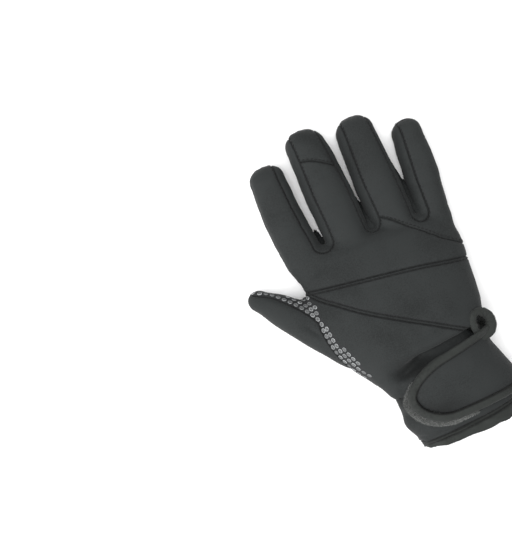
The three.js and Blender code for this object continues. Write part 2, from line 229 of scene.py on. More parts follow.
def body_field(x, y, z):
    share = (y - MOUTH_Y) / BODY_LENGTH
    left, right, top, base, slant = smooth_rows(BODY_ROWS, np.clip(share, 0, 1))
    share = (y + slant * x - MOUTH_Y) / BODY_LENGTH
    left, right, top, base, slant = smooth_rows(BODY_ROWS, np.clip(share, 0, 1))
    middle = (left + right) / 2 * HAND_WIDTH
    half = (right - left) / 2 * HAND_WIDTH
    field = section_field(x - middle, z, half, top * HAND_HEIGHT, base * HAND_HEIGHT)
    return np.maximum(field, (share - 1) * BODY_LENGTH)


def finger_centre(finger, share):
    root_x, root_y, tip_x, length, bow = finger[1:6]
    bend = 4 * bow * FINGER_BREADTH * share * (1 - share)
    x = HAND_WIDTH * (root_x + (tip_x - root_x) * share) + bend
    y = MOUTH_Y + root_y * BODY_LENGTH + share * length * FINGER_LENGTH
    return x, y


def finger_half(finger, share):
    root, mid, end = finger[6:9]
    return FINGER_BREADTH / 2 * np.interp(share, [0, 0.5, 1], [root, mid, end])


def tipped_field(across, z, share, length, half, height, rows, tip):
    """The section along a finger or the thumb, closed by a rounded tip."""
    start, tip_width, power, drop, rise = tip
    held = np.clip(share, 0, 1)
    wide, top = smooth_rows(rows, held)
    dome = np.sqrt(np.maximum(1 - np.clip((held - start) / (1 - start), 0, 1) ** power, 0))
    half = half * np.where(held > start, tip_width * dome, wide)
    field = section_field(across, z, half, (top - drop * (1 - dome)) * height, rise * (1 - dome) * height)
    return np.maximum(field, np.maximum(share - 1, -share) * length)


def finger_field(finger, x, y, z):
    length = finger[4] * FINGER_LENGTH
    share = (y - (MOUTH_Y + finger[2] * BODY_LENGTH)) / length
    held = np.clip(share, 0, 1)
    across = x - finger_centre(finger, held)[0]
    half = finger_half(finger, held)
    return tipped_field(across, z, share, length, half, FINGER_HEIGHT * finger[9], FINGER_ROWS, FINGER_TIP)


def along_run(x, y, run, ends=(0.0, 1.0)):
    """Distance to a run in plan, above 0 on its left, and the share of it gone. Its first and last step
    reach to the two ends given."""
    best = np.full(x.shape, 1e9)
    value, share = np.zeros(x.shape), np.zeros(x.shape)
    count = len(run) - 1
    for k, (a, b) in enumerate(zip(run[:-1], run[1:])):
        step = b - a
        low, high = ends[0] if k == 0 else 0.0, ends[1] if k == count - 1 else 1.0
        t = np.clip(((x - a[0]) * step[0] + (y - a[1]) * step[1]) / (step @ step), low, high)
        away_x, away_y = x - a[0] - t * step[0], y - a[1] - t * step[1]
        gap = np.hypot(away_x, away_y)
        side = np.where(step[0] * away_y - step[1] * away_x >= 0, 1.0, -1.0)
        value = np.where(gap < best, side * gap, value)
        share = np.where(gap < best, (k + t) / count, share)
        best = np.minimum(best, gap)
    return value, share


# Points along the thumb, and how far its first and last steps go on, in steps
THUMB_FINE = 400
THUMB_POINTS = 40
THUMB_BEYOND = 9.0


def thumb_points():
    """Even places along the thumb's bent middle line, and its length."""
    a, b, c = plan(THUMB_PATH)
    t = np.linspace(0, 1, THUMB_FINE)[:, None]
    path = (1 - t) ** 2 * a + 2 * t * (1 - t) * b + t * t * c
    run = np.concatenate([[0], np.cumsum(np.linalg.norm(np.diff(path, axis=0), axis=1))])
    at = np.linspace(0, run[-1], THUMB_POINTS)
    return np.stack([np.interp(at, run, path[:, k]) for k in (0, 1)], axis=1), run[-1]


def thumb_field(x, y, z):
    path, length = thumb_points()
    left, share = along_run(x, y, path, (-THUMB_BEYOND, THUMB_BEYOND))
    return tipped_field(-left, z, share, length, THUMB_BREADTH / 2, THUMB_HEIGHT, THUMB_ROWS, THUMB_TIP)


# Surface nets: one vertex in each cell that the surface crosses
def surface_nets(field, origin, cell):
    inside = field < 0
    shape = np.array(field.shape) - 1
    total = np.zeros((*shape, 3))
    count = np.zeros(tuple(shape))
    corners = [(i, j, k) for i in (0, 1) for j in (0, 1) for k in (0, 1)]

    def at(array, corner):
        i, j, k = corner
        return array[i : i + shape[0], j : j + shape[1], k : k + shape[2]]

    for a in corners:
        for axis in range(3):
            if a[axis]:
                continue
            b = tuple(v + (1 if n == axis else 0) for n, v in enumerate(a))
            fa, fb = at(field, a), at(field, b)
            cross = (fa < 0) != (fb < 0)
            t = np.where(cross, fa / np.where(cross, fa - fb, 1), 0)
            for n in range(3):
                total[..., n] += np.where(cross, a[n] + (t if n == axis else 0), 0)
            count += cross
    used = count > 0
    number = np.full(tuple(shape), -1)
    number[used] = np.arange(used.sum())
    cells = np.argwhere(used)
    points = origin + cell * (cells + total[used] / count[used][:, None])
    quads = []
    for axis in range(3):
        u, v = [n for n in range(3) if n != axis]
        low = [slice(None)] * 3
        high = [slice(None)] * 3
        low[axis], high[axis] = slice(0, -1), slice(1, None)
        one, two = inside[tuple(low)], inside[tuple(high)]
        hits = np.argwhere(one != two)
        keep = (hits[:, u] > 0) & (hits[:, v] > 0) & (hits[:, u] < shape[u]) & (hits[:, v] < shape[v])
        hits = hits[keep]
        around = []
        for du, dv in ((-1, -1), (0, -1), (0, 0), (-1, 0)):
            spot = hits.copy()
            spot[:, u] += du
            spot[:, v] += dv
            around.append(number[spot[:, 0], spot[:, 1], spot[:, 2]])
        quad = np.stack(around, axis=1)
        out = one[tuple(hits.T)]
        flip = out if axis != 1 else ~out
        quad[~flip] = quad[~flip][:, ::-1]
        quads.append(quad)
    quads = np.concatenate(quads)
    return points, quads[(quads >= 0).all(axis=1)]


def triangles_of(points, quads):
    a, b, c, d = (points[quads[:, k]] for k in range(4))
    short = np.linalg.norm(a - c, axis=1) <= np.linalg.norm(b - d, axis=1)
    one = np.where(short[:, None], quads[:, [0, 1, 2]], quads[:, [0, 1, 3]])
    two = np.where(short[:, None], quads[:, [0, 2, 3]], quads[:, [1, 2, 3]])
    return np.concatenate([one, two])


def unit(rows):
    return rows / np.maximum(np.linalg.norm(rows, axis=1, keepdims=True), 1e-12)


def face_normals(points, faces):
    """Normal of each face, as long as twice its area."""
    a, b, c = (points[faces[:, k]] for k in range(3))
    return np.cross(b - a, c - a)


def vertex_normals(points, faces):
    normal = face_normals(points, faces)
    total = np.zeros_like(points)
    for k in range(3):
        np.add.at(total, faces[:, k], normal)
    return unit(total)


def sides_of(faces):
    return np.concatenate([faces[:, [0, 1]], faces[:, [1, 2]], faces[:, [2, 0]]])


RELAX_SHARE = 0.5
RELAX_BACK = -1.04


def relax(points, faces, rounds):
    """Laplacian smoothing in pairs, out and back, which keeps the volume."""
    edges = np.unique(np.sort(sides_of(faces), axis=1), axis=0)
    degree = np.bincount(edges.ravel(), minlength=len(points))[:, None]
    for step in range(2 * rounds):
        total = np.zeros_like(points)
        np.add.at(total, edges[:, 0], points[edges[:, 1]])
        np.add.at(total, edges[:, 1], points[edges[:, 0]])
        shift = total / np.maximum(degree, 1) - points
        points = points + shift * (RELAX_SHARE if step % 2 == 0 else RELAX_SHARE * RELAX_BACK)
    return points


def field_mesh(field, origin, cell, rounds):
    points, quads = surface_nets(field, origin, cell)
    faces = triangles_of(points, quads)
    return relax(points, faces, rounds), faces


# Cutting a triangle mesh along the zero line of a value given at its vertices
SNAP = 0.12


def split_at_zero(data, faces, value, chosen):
    """Cuts the chosen faces where value crosses 0. data holds the vertices and all their other columns."""
    value = np.where(np.abs(value) < SNAP, 0.0, value)
    signs = np.sign(value)
    work = faces[chosen]
    pairs = np.unique(np.sort(sides_of(work), axis=1), axis=0)
    pairs = pairs[signs[pairs[:, 0]] * signs[pairs[:, 1]] < 0]
    share = value[pairs[:, 0]] / (value[pairs[:, 0]] - value[pairs[:, 1]])
    fresh = data[pairs[:, 0]] * (1 - share[:, None]) + data[pairs[:, 1]] * share[:, None]
    span = len(data)
    code = pairs[:, 0] * span + pairs[:, 1]
    data = np.concatenate([data, fresh])
    value = np.concatenate([value, np.zeros(len(fresh))])

    def cut(a, b):
        key = np.minimum(a, b) * span + np.maximum(a, b)
        found = np.searchsorted(code, key)
        found = np.clip(found, 0, max(len(code) - 1, 0))
        hit = code[found] == key if len(code) else np.zeros(len(key), bool)
        return np.where(hit, span + found, -1)

    done = [faces[~chosen]]
    owner = [np.flatnonzero(~chosen)]
    home = np.flatnonzero(chosen)
    ab, bc, ca = cut(work[:, 0], work[:, 1]), cut(work[:, 1], work[:, 2]), cut(work[:, 2], work[:, 0])
    cuts = (ab >= 0).astype(int) + (bc >= 0) + (ca >= 0)
    done.append(work[cuts == 0])
    owner.append(home[cuts == 0])
    for turn in range(3):
        a, b, c = (work[:, (turn + k) % 3] for k in range(3))
        first, middle, last = [(ab, bc, ca), (bc, ca, ab), (ca, ab, bc)][turn]
        two = (cuts == 2) & (middle < 0)
        done += [np.stack([a, first, last], 1)[two], np.stack([first, b, c], 1)[two],
                 np.stack([first, c, last], 1)[two]]
        one = (cuts == 1) & (middle >= 0)
        done += [np.stack([a, b, middle], 1)[one], np.stack([a, middle, c], 1)[one]]
        owner += [home[two]] * 3 + [home[one]] * 2
    return data, np.concatenate(done), value, np.concatenate(owner)


# Plan distances
def inside_outline(x, y, outline):
    hit = np.zeros(len(x), bool)
    for a, b in zip(outline, np.roll(outline, -1, axis=0)):
        if a[1] == b[1]:
            continue
        spans = (a[1] > y) != (b[1] > y)
        hit ^= spans & (x < (b[0] - a[0]) * (y - a[1]) / (b[1] - a[1]) + a[0])
    return hit


def outline_value(x, y, outline):
    """Above 0 inside the outline, and its distance in plan."""
    away = np.abs(along_run(x, y, np.concatenate([outline, outline[:1]]))[0])
    return np.where(inside_outline(x, y, outline), away, -away)


def rounded(run, steps=6):
    """A run of points with its corners eased: a Catmull-Rom curve through them."""
    ends = np.concatenate([[2 * run[0] - run[1]], run, [2 * run[-1] - run[-2]]])
    made = []
    for k in range(1, len(ends) - 2):
        p, q, r, s = ends[k - 1 : k + 3]
        square, cube = 2 * p - 5 * q + 4 * r - s, 3 * q - p - 3 * r + s
        for t in np.linspace(0, 1, steps, endpoint=False):
            made.append(0.5 * (2 * q + (r - p) * t + square * t**2 + cube * t**3))
    return np.array([*made, run[-1]])


def arc(centre, reach_x, reach_y, start, end, steps):
    angle = np.radians(np.linspace(start, end, steps + 1))
    return np.stack([centre[0] + reach_x * np.cos(angle), centre[1] + reach_y * np.sin(angle)], axis=1)


FAR = 3 * HAND_WIDTH


def seam_run(finger, side):
    inset = FINGER_BREADTH * (finger[11] if side > 0 else finger[10])
    share = np.linspace(0.26, 1, 24)
    x, y = finger_centre(finger, share)
    return np.stack([x + side * (finger_half(finger, share) - inset), y], axis=1)


def fork_outline(left, right, drop):
    """Outline in plan of the strip between two fingers, with the middle of its round end."""
    runs = seam_run(left, 1), seam_run(right, -1)
    web = FORK_Y - BODY_ROWS[-1][5] * (runs[0][0, 0] + runs[1][0, 0]) / 2
    level = web - drop + FORK_RADIUS
    left_x, right_x = (np.interp(level, run[:, 1], run[:, 0]) for run in runs)
    left_run, right_run = (run[run[:, 1] > level + 0.5] for run in runs)
    middle_x = (right_x + left_x) / 2
    bend = arc((middle_x, level), (right_x - left_x) / 2, FORK_RADIUS, 180, 360, 14)
    ends = [[(run[-1, 0], FORK_Y + FINGER_LENGTH)] for run in (left_run, right_run)]
    return np.concatenate([ends[0], left_run[::-1], bend, right_run, ends[1]]), middle_x


def up_from(run, left):
    return np.concatenate([run, [(FAR, run[-1, 1]), (FAR, FAR), (left, FAR), (left, run[0, 1])]])


index, middle, ring, little = FINGERS
(fork_im, im_x), (fork_mr, mr_x), (fork_rl, rl_x) = (
    fork_outline(*fork) for fork in ((index, middle, 5.0), (middle, ring, 1.5), (ring, little, 5.0))
)
band_run, slant_run, finger_run, tip_run, palm_run, thumb_run = (
    rounded(plan(run)) for run in (BAND_SEAM, SLANT_SEAM, FINGER_SEAM, TIP_SEAM, PALM_EDGE, THUMB_SEAM)
)
wrist_outline = np.concatenate(
    [palm_run[::-1], slant_run[1:], [(FAR, slant_run[-1, 1]), (FAR, -FAR), (palm_run[-1, 0], -FAR)]]
)
thumb_outline = np.concatenate(
    [thumb_run, [(thumb_run[-1, 0], -FAR), (-FAR, -FAR), (-FAR, thumb_run[0, 1])]]
)

# Edge of the fingers' panel beside the thumb, which is the palm's cloth
BESIDE_THUMB = [(-85.0, 62.0), (-62.5, 44.0)]

# Panels in the order in which they come off the skin: name, plan outline, lowest height
PANELS = [
    ("fourchette_index_middle", fork_im, -FAR),
    ("fourchette_middle_ring", fork_mr, -FAR),
    ("fourchette_ring_little", fork_rl, -FAR),
    ("thumb_panel", thumb_outline, THUMB_SEAM_HEIGHT),
    ("middle_tip_panel", np.concatenate([tip_run, [(mr_x, FAR), (im_x, FAR)]]), SIDE_SEAM_HEIGHT),
    ("outer_fingers_panel", up_from(finger_run, mr_x), SIDE_SEAM_HEIGHT),
    ("inner_fingers_panel", np.concatenate([up_from(band_run, -85.0)[:-1], BESIDE_THUMB]), SIDE_SEAM_HEIGHT),
    ("knuckle_band", up_from(slant_run, band_run[0, 0]), SIDE_SEAM_HEIGHT),
    ("wrist_panel", wrist_outline, SIDE_SEAM_HEIGHT),
]


# Skin of the whole glove
def grid(low, high, cell):
    axes = [np.arange(a, b + cell, cell) for a, b in zip(low, high)]
    return np.array([a[0] for a in axes]), np.meshgrid(*axes, indexing="ij")


def boxed(field_of, x, y, z, low, high):
    """A distance worked out only inside a plan box, and far elsewhere."""
    field = np.full(x.shape, OUTSIDE)
    columns = np.flatnonzero((x[:, 0, 0] >= low[0]) & (x[:, 0, 0] <= high[0]))
    rows = np.flatnonzero((y[0, :, 0] >= low[1]) & (y[0, :, 0] <= high[1]))
    part = (slice(columns[0], columns[-1] + 1), slice(rows[0], rows[-1] + 1))
    field[part] = true_distance(field_of(x[part], y[part], z[part]), SKIN_CELL)
    return field


def web_field(web, x, y, z):
    away, share = along_run(x, y, np.array(web[:4]).reshape(2, 2))
    top = web[4] + (web[5] - web[4]) * share
    half = WEB_HALF * (1 - WEB_TAPER * share)
    return np.maximum((np.sqrt((away / half) ** 2 + (z / top) ** 2) - 1) * half, WEB_BASE - z)


# Box of the grid, and the reach of the smooth joins to the hand
SKIN_LOW = (-98.0, MOUTH_Y - 0.5 * SKIN_CELL, -2.0)
SKIN_HIGH = (64.0, 124.0, 42.0)
THUMB_JOIN = 7.0
FINGER_JOIN = 3.0
WEB_JOIN = 1.5
SKIN_ROUNDS = 4


def make_skin():
    origin, (x, y, z) = grid(SKIN_LOW, SKIN_HIGH, SKIN_CELL)
    hand = boxed(body_field, x, y, z, (-72, -130), (70, 52))
    hand = smooth_min(hand, boxed(thumb_field, x, y, z, (-100, -82), (8, 50)), THUMB_JOIN)
    for finger in FINGERS:
        middle_x, root_y = HAND_WIDTH * finger[1], MOUTH_Y + finger[2] * BODY_LENGTH
        low, high = (middle_x - 27, root_y - 5), (middle_x + 27, 126)
        tube = boxed(lambda *at: finger_field(finger, *at), x, y, z, low, high)
        hand = smooth_min(hand, tube, FINGER_JOIN)
    for web in WEBS:
        low, high = (web[2] - 12, web[1] - 9), (web[0] + 12, web[3] + 9)
        strip = boxed(lambda *at: web_field(web, *at), x, y, z, low, high)
        hand = smooth_min(hand, strip, WEB_JOIN)
    points, faces = field_mesh(hand, origin, SKIN_CELL, SKIN_ROUNDS)
    points[:, 2] = np.maximum(points[:, 2], SKIN_FLOOR)
    return points, faces


def hem_seam_y(x):
    return HEM_Y + HEM_SLOPE * (x - HEM_LEVEL_X)


def noise(points, scale, seed):
    """Smooth noise between about -1 and 1: nine sine waves in random directions."""
    rng = np.random.default_rng(seed)
    total = np.zeros(len(points))
    for k in range(9):
        way = rng.normal(size=3)
        way /= np.linalg.norm(way)
        size = scale * rng.uniform(0.7, 1.5)
        total += np.sin(points @ way * (2 * math.pi / size) + rng.uniform(0, 2 * math.pi))
    return total / 4.5


def shifted(run, away):
    """A run moved to its left by a distance, in plan."""
    step = unit(np.gradient(run, axis=0))
    return run + away * np.stack([-step[:, 1], step[:, 0]], axis=1)


def seam_samples(points, faces, label, names):
    """Points along every seam, apart from the printed edge, which lies flat."""
    edges = np.sort(sides_of(faces), axis=1)
    owner = np.tile(label, 3)
    order = np.lexsort((edges[:, 1], edges[:, 0]))
    edges, owner = edges[order], owner[order]
    same = (edges[1:] == edges[:-1]).all(axis=1)
    seams = same & (owner[1:] != owner[:-1])
    pair = edges[:-1][seams]
    kinds = np.stack([owner[:-1][seams], owner[1:][seams]], axis=1)
    middle = (points[pair[:, 0]] + points[pair[:, 1]]) / 2
    printed = [(kinds == names.index(name)).any(axis=1) for name in ("palm", "wrist_panel")]
    sewn = ~(printed[0] & printed[1] & (middle[:, 0] < 0))
    pair, middle = pair[sewn], middle[sewn]
    return np.concatenate([points[pair[:, 0]], middle, points[pair[:, 1]]])


def nearest(points, samples):
    tree = KDTree(len(samples))
    for k, place in enumerate(samples):
        tree.insert(place, k)
    tree.balance()
    return np.array([tree.find(place)[2] for place in points])


SEAM_WIDTH = 0.85
STITCH_AWAY = 2.0
HEM_LINE = np.array([(x, hem_seam_y(x) - 2.0) for x in (-60.0, 66.0)])
STITCH_LINES = [
    ("knuckle_band", shifted(band_run, -STITCH_AWAY)),
    ("knuckle_band", shifted(slant_run, STITCH_AWAY)),
    ("hem", HEM_LINE),
]


def cut_panels(points, faces):
    """Labels each face with its panel, with the skin cut exactly along the seams and their edges.
    The fourth column is the distance to the nearest seam, the fifth that to the nearest stitched line."""
    data = np.concatenate([points, np.full((len(points), 2), 99.0)], axis=1)
    label = np.full(len(faces), -1)

    def split(value, chosen):
        nonlocal data, faces, label
        data, faces, value, owner = split_at_zero(data, faces, value, chosen)
        label = label[owner]
        return value, chosen[owner]

    def take(number, value, chosen):
        value, free = split(value, chosen)
        label[free & (value[faces].mean(axis=1) > 0)] = number

    names = [row[0] for row in PANELS] + ["cuff", "hem", "palm"]
    take(names.index("hem"), hem_seam_y(data[:, 0]) - data[:, 1], label < 0)
    take(names.index("cuff"), WRIST_Y - data[:, 1], label < 0)
    for number, (name, outline, lowest) in enumerate(PANELS):
        value = np.minimum(outline_value(data[:, 0], data[:, 1], outline), data[:, 2] - lowest)
        take(number, value, label < 0)
    label[label < 0] = names.index("palm")
    data[:, 3] = nearest(data[:, :3], seam_samples(data[:, :3], faces, label, names))
    split(data[:, 3] - SEAM_WIDTH, label >= 0)
    for name, run in STITCH_LINES:
        split(along_run(data[:, 0], data[:, 1], run)[0], label == names.index(name))
        line = np.abs(along_run(data[:, 0], data[:, 1], run)[0])
        on_panel = np.zeros(len(data), bool)
        on_panel[faces[label == names.index(name)].ravel()] = True
        data[:, 4] = np.where(on_panel, np.minimum(data[:, 4], line), data[:, 4])
        split(np.where(on_panel, data[:, 4] - SEAM_WIDTH, 9.0), label == names.index(name))
    return data, faces, label, names


# Relief of the cloth: panels swell between their seams, folds and small puckers
SEAM_DEPTH = 0.9
LINE_DEPTH = 0.5
SWELL = 0.8
SWELL_WIDTH = 6.0
PUCKER = 0.17
PUCKER_WIDTH = 2.6
DRIFT = 0.42
SMALL_DRIFT = 0.17
HEM_CRUMPLE = 0.45
MOUTH_WAVE = 1.1

# Folds: middle x and y, half length, half width, turn in degrees, height
FOLDS = [
    (20.0, -51.5, 31.0, 3.6, 5.0, -7.5),
    (-9.0, -55.6, 14.0, 3.4, 13.0, -7.0),
    (-20.0, -66.0, 9.0, 4.0, 60.0, -1.6),
    (10.0, -43.0, 36.0, 5.0, 4.0, 1.8),
    (-22.0, -74.5, 8.0, 1.3, 8.0, -2.2),
    (-24.0, -79.5, 7.0, 2.4, -14.0, 0.9),
    (-22.0, -86.0, 8.0, 2.0, -20.0, -0.8),
    (-22.0, -94.0, 9.0, 2.6, 24.0, 0.7),
    (-4.0, -102.5, 24.0, 1.2, -2.0, -0.9),
    (26.0, -102.5, 22.0, 1.2, 3.0, -0.9),
    (8.0, -108.0, 10.0, 1.6, 12.0, 0.7),
    (30.0, -107.5, 9.0, 1.7, -10.0, 0.8),
    (-12.0, -107.0, 7.0, 1.5, -14.0, 0.7),
    (43.5, -45.0, 4.2, 4.2, 0.0, -4.0),
    (-60.0, -9.5, 6.5, 1.5, -58.0, -0.9),
    (-66.0, -8.0, 8.0, 2.2, -50.0, 0.5),
    (-46.0, 26.0, 9.0, 2.6, 20.0, -0.5),
    (48.0, 16.0, 9.0, 2.4, -30.0, -0.6),
    (-46.0, 58.0, 11.0, 2.4, 8.0, -0.45),
    (-47.0, 74.0, 10.0, 2.0, -6.0, -0.35),
    (-15.0, 66.0, 12.0, 2.4, -6.0, -0.4),
    (-17.0, 84.0, 11.0, 2.2, 9.0, -0.4),
    (19.0, 62.0, 12.0, 2.3, 7.0, -0.4),
    (19.0, 82.0, 11.0, 2.2, -8.0, -0.35),
    (49.0, 55.0, 9.0, 2.2, -10.0, -0.4),
    (49.0, 72.0, 9.0, 2.0, 9.0, -0.35),
]

# Painted shade of the deep crease above the strap, placed as a fold is, and how much darker it gets
CREASE = (-7.0, -55.5, 16.0, 3.6, 10.0)
CREASE_PAINTED_SHADE = 0.6


def fold_shape(points, x, y, along, wide, turn):
    angle = math.radians(turn)
    u = (points[:, 0] - x) * math.cos(angle) + (points[:, 1] - y) * math.sin(angle)
    v = -(points[:, 0] - x) * math.sin(angle) + (points[:, 1] - y) * math.cos(angle)
    return np.exp(-((u / along) ** 4) - (v / wide) ** 2)


def relief(points, normals, seam, line):
    swell = SWELL * (1 - np.exp(-seam / SWELL_WIDTH)) - SWELL
    groove = -SEAM_DEPTH * np.clip(1 - seam / SEAM_WIDTH, 0, 1)
    groove = groove - LINE_DEPTH * np.clip(1 - line / SEAM_WIDTH, 0, 1)
    pucker = PUCKER * np.exp(-np.minimum(seam, line) / PUCKER_WIDTH) * noise(points, 4.2, 3)
    drift = DRIFT * noise(points, 34.0, 5) + SMALL_DRIFT * noise(points, 13.0, 7)
    crumple = HEM_CRUMPLE * noise(points, 8.0, 9) * np.clip((HEM_Y + 0.5 - points[:, 1]) / 2, 0, 1)
    total = swell + groove + pucker + crumple + drift * np.clip(seam / 4, 0.2, 1)
    for *fold, height in FOLDS:
        total += height * fold_shape(points, *fold) * np.clip(normals[:, 2] * 1.6, 0, 1)
    flat = np.clip((points[:, 2] - 0.7) / 3.0, 0, 1)
    return total * np.where(normals[:, 2] < -0.3, flat, 1)


# Meshes
# Distance to a seam where there is none near, in millimetres
FROM_SEAM = 9.0


def new_object(name, points, faces):
    mesh = bpy.data.meshes.new(name)
    mesh.from_pydata((points * MM).tolist(), [], faces.tolist())
    mesh.update()
    made = bpy.data.objects.new(name, mesh)
    bpy.context.collection.objects.link(made)
    mesh.shade_smooth()
    # The seam attribute holds the painted shade of the materials, none at first
    mesh.attributes.new("seam", "FLOAT", "POINT")
    set_painted_shade(made, np.full(len(points), FROM_SEAM))
    return made


def set_painted_shade(made, values):
    """Value at each vertex, in millimetres, that darkens the materials as painted shade: the distance to the
    nearest seam, so the materials are darker near one, or a lower value where a crease, hollow or cell
    middle gets painted shade.
    """
    values = np.asarray(values, dtype=np.float32)
    made.data.attributes["seam"].data.foreach_set("value", values)


# Least height of an inner face, how far its far side is looked for, and the share of a narrow gap it takes
LEAST_INSIDE = SKIN_FLOOR + 0.1
WALL_LOOK = 2.5 * WALL
WALL_SHARE = 0.4


def wall_depths(points, inward, tree):
    """The wall at each point, thinner where the far side is near."""
    depths = np.full(len(points), WALL)
    for k, (place, way) in enumerate(zip(points - inward * 0.05, -inward)):
        gap = tree.ray_cast(Vector(place), Vector(way), WALL_LOOK)[3]
        if gap:
            depths[k] = min(WALL, WALL_SHARE * gap)
    return depths


def shell_object(name, points, inward, shading, faces, depth):
    """A wall of cloth: the outer face, the inner face at a depth along inward, and the rim between them."""
    count = len(points)
    inner = points - inward * np.reshape(depth, (-1, 1))
    inner[:, 2] = np.maximum(inner[:, 2], LEAST_INSIDE)
    edges = sides_of(faces)
    open_edge = ~np.isin(edges[:, 0] * count + edges[:, 1], edges[:, 1] * count + edges[:, 0])
    a, b = edges[open_edge].T
    rim = np.concatenate([np.stack([b, a, a + count], 1), np.stack([b, a + count, b + count], 1)])
    both = np.concatenate([points, inner])
    made = new_object(name, both, np.concatenate([faces, faces[:, ::-1] + count, rim]))
    corners = np.concatenate([
        shading[faces].reshape(-1, 3),
        -inward[faces[:, ::-1]].reshape(-1, 3),
        np.repeat(unit(face_normals(both, rim)), 3, axis=0),
    ])
    made.data.normals_split_custom_set(corners.tolist())
    return made


# Materials, with the reach of the painted shade beside a seam in millimetres
SEAM_SHADE = 1.1


def set_inputs(node, values):
    for key, value in values.items():
        node.inputs[key].default_value = value


def node_material(name, colour, roughness):
    material = bpy.data.materials.new(name)
    material.use_nodes = True
    shader = material.node_tree.nodes["Principled BSDF"]
    set_inputs(shader, {"Base Color": (*colour, 1), "Roughness": roughness})
    return material, material.node_tree.nodes, material.node_tree.links, shader


def add_node(nodes, kind, values, **settings):
    made = nodes.new(kind)
    for key, value in settings.items():
        setattr(made, key, value)
    set_inputs(made, values)
    return made


def cloth_material(name, dark, light, roughness, weave, weave_strength, sheen):
    material, nodes, links, shader = node_material(name, dark, roughness)
    place = add_node(nodes, "ShaderNodeTexCoord", {})
    mottle = add_node(nodes, "ShaderNodeTexNoise", {"Scale": 24, "Detail": 2})
    fibre = add_node(nodes, "ShaderNodeTexNoise", {"Scale": weave, "Detail": 3})
    sum_up = add_node(nodes, "ShaderNodeMath", {1: 0.9}, operation="MULTIPLY_ADD")
    ramp = add_node(nodes, "ShaderNodeValToRGB", {})
    for stop, position, colour in zip(ramp.color_ramp.elements, (0.6, 1.0), (dark, light)):
        stop.position = position
        stop.color = (*colour, 1)
    # Painted shade: the colour is multiplied darker where the seam value is low: beside seams and stitched
    # lines, in creases and hollows, and in the dished middles of the print's cells
    seam = add_node(nodes, "ShaderNodeAttribute", {}, attribute_name="seam")
    shade = add_node(nodes, "ShaderNodeMapRange", {"From Max": SEAM_SHADE, "To Min": 0.22})
    tint = add_node(nodes, "ShaderNodeMix", {"Factor": 1}, data_type="RGBA", blend_type="MULTIPLY")
    bump = add_node(nodes, "ShaderNodeBump", {"Strength": weave_strength, "Distance": 0.0003})
    for source, output, target, entry in (
        (place, "Object", mottle, "Vector"),
        (place, "Object", fibre, "Vector"),
        (fibre, "Fac", sum_up, 0),
        (mottle, "Fac", sum_up, 2),
        (sum_up, "Value", ramp, "Fac"),
        (seam, "Fac", shade, "Value"),
        (ramp, "Color", tint, "A"),
        (shade, "Result", tint, "B"),
        (tint, "Result", shader, "Base Color"),
        (fibre, "Fac", bump, "Height"),
        (bump, "Normal", shader, "Normal"),
    ):
        links.new(source.outputs[output], target.inputs[entry])
    set_inputs(shader, {"Sheen Weight": sheen, "Sheen Roughness": 0.5, "Specular IOR Level": 0.22})
    return material


# Name, dark and light colour, roughness, grain of the weave, its strength, sheen
CLOTHS = [
    ("softshell", (0.0060, 0.0069, 0.0069), (0.0150, 0.0169, 0.0169), 0.82, 1300, 0.35, 0.03),
    ("palm_cloth", (0.007, 0.0078, 0.008), (0.015, 0.016, 0.0165), 0.8, 700, 0.4, 0.03),
    ("binding", (0.008, 0.0091, 0.0084), (0.017, 0.0190, 0.0175), 0.85, 650, 0.6, 0.04),
    ("hook_felt", (0.008, 0.009, 0.008), (0.045, 0.047, 0.045), 0.95, 1500, 1.0, 0.06),
    ("fuzz", (0.02, 0.021, 0.02), (0.14, 0.145, 0.14), 0.9, 700, 0.3, 0.1),
    ("thread", (0.002, 0.0022, 0.0022), (0.005, 0.0055, 0.0055), 0.7, 1500, 0.5, 0.02),
    ("print_grey", (0.15, 0.155, 0.158), (0.36, 0.37, 0.375), 0.5, 800, 0.15, 0.0),
]
softshell, palm_cloth, binding, hook_felt, fuzz, thread, print_grey = [
    cloth_material(*row) for row in CLOTHS
]


def dress(made, material, slot, *nodes):
    made.data.materials.clear()
    made.data.materials.append(material)
    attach(made, "root")
    if nodes:
        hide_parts(*nodes)


# Build the skin
points, faces = make_skin()
data, faces, label, panel_names = cut_panels(points, faces)
skin = data[:, :3]
skin_normals = vertex_normals(skin, faces)
raised = skin + skin_normals * relief(skin, skin_normals, data[:, 3], data[:, 4])[:, None]
near_mouth = np.clip((HEM_Y - skin[:, 1]) / (HEM_Y - MOUTH_Y), 0, 1)
raised[:, 1] += MOUTH_WAVE * near_mouth * noise(skin, 15.0, 15)
raised[:, 2] = np.maximum(raised[:, 2], SKIN_FLOOR)
shading = vertex_normals(raised, faces)
skin_tree = BVHTree.FromPolygons(raised.tolist(), faces.tolist())
depths = wall_depths(raised, skin_normals, skin_tree)

# Painted shade on the cloth: darker beside the seams and stitched lines, and in the deep crease above the
# strap
shade_at = np.minimum(data[:, 3], data[:, 4])
shade_at = np.minimum(shade_at, SEAM_SHADE - CREASE_PAINTED_SHADE * fold_shape(raised, *CREASE))

MATERIAL_OF = {"palm": (palm_cloth, "printed_palm"), "hem": (binding, "binding")}
for number, name in enumerate(panel_names):
    used, part_faces = np.unique(faces[label == number], return_inverse=True)
    part_faces = part_faces.reshape(-1, 3)
    columns = [column[used] for column in (raised, skin_normals, shading)]
    panel = shell_object(name + "_cloth", *columns, part_faces, depths[used])
    set_painted_shade(panel, np.tile(shade_at[used], 2))
    material, slot = MATERIAL_OF.get(name, (softshell, "softshell"))
    dress(panel, material, slot, name)


# What lies on the skin
FROM_ABOVE = 80
FROM_BELOW = -20


def skin_at(x, y, start):
    """Place, normal and panel of the skin straight below or above a point, or None."""
    way = Vector((0, 0, -math.copysign(1, start)))
    place, normal, face, unused = skin_tree.ray_cast(Vector((x, y, start)), way)
    return (np.array(place), np.array(normal), panel_names[label[face]]) if place else None


def columns_of(found):
    return [np.array(column) for column in zip(*found)]


